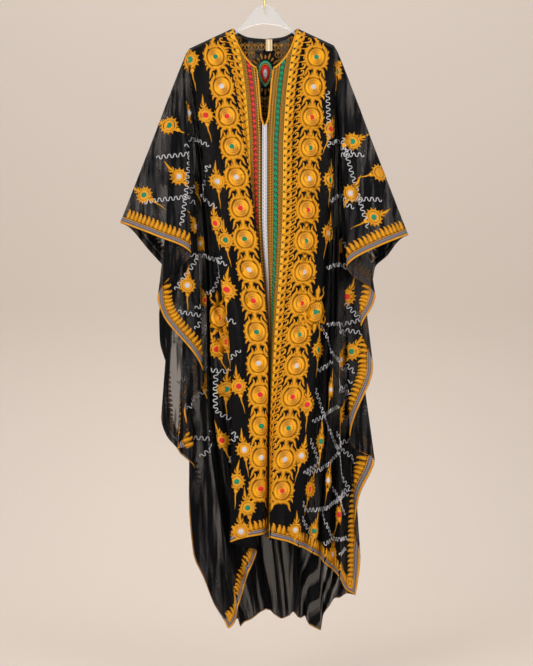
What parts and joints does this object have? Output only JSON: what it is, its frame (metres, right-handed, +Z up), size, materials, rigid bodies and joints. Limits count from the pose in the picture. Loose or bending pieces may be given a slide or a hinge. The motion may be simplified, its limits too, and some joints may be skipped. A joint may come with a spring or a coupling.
{
  "type": "thobe on a hanger",
  "caption": "Wide sheer black thobe with gold, silver, red and green embroidery and a braided placket, hung on a clear hanger.",
  "frame": {"origin": "inner top of the hanger's hook, where a rail or peg holds it", "axes": "+Z up, +X towards the right sleeve as seen from the front, the front faces -Y"},
  "size_m": [0.7232, 0.1614, 1.6495],
  "materials": {
    "cloth": "sheer black chiffon with metallic embroidery",
    "gold_braid": "gold metallic braid",
    "red_trim": "red metallic ribbon",
    "green_trim": "green metallic ribbon",
    "silver_trim": "silver lilac metallic ribbon",
    "label_cloth": "bare cream woven tab",
    "clear_plate": "clear polished acrylic",
    "hook_metal": "polished gold plated wire"
  },
  "bodies": {
    "root": {"sleeve_left": "cloth", "gore_front_left": "cloth", "gore_back_left": "cloth", "sleeve_right": "cloth", "gore_front_right": "cloth", "gore_back_right": "cloth", "panel_front": "cloth", "panel_back": "cloth", "cuff_braid_left": "gold_braid", "cuff_braid_right": "gold_braid", "hem_braid_front": "gold_braid", "hem_cord_back": "gold_braid", "neck_braid": "gold_braid", "band_gold_left": "gold_braid", "band_red": "red_trim", "band_silver": "silver_trim", "band_green": "green_trim", "band_gold_right": "gold_braid", "neck_label": "label_cloth", "hanger_plate": "clear_plate", "hanger_hook": "hook_metal"}
  },
  "joints": []
}
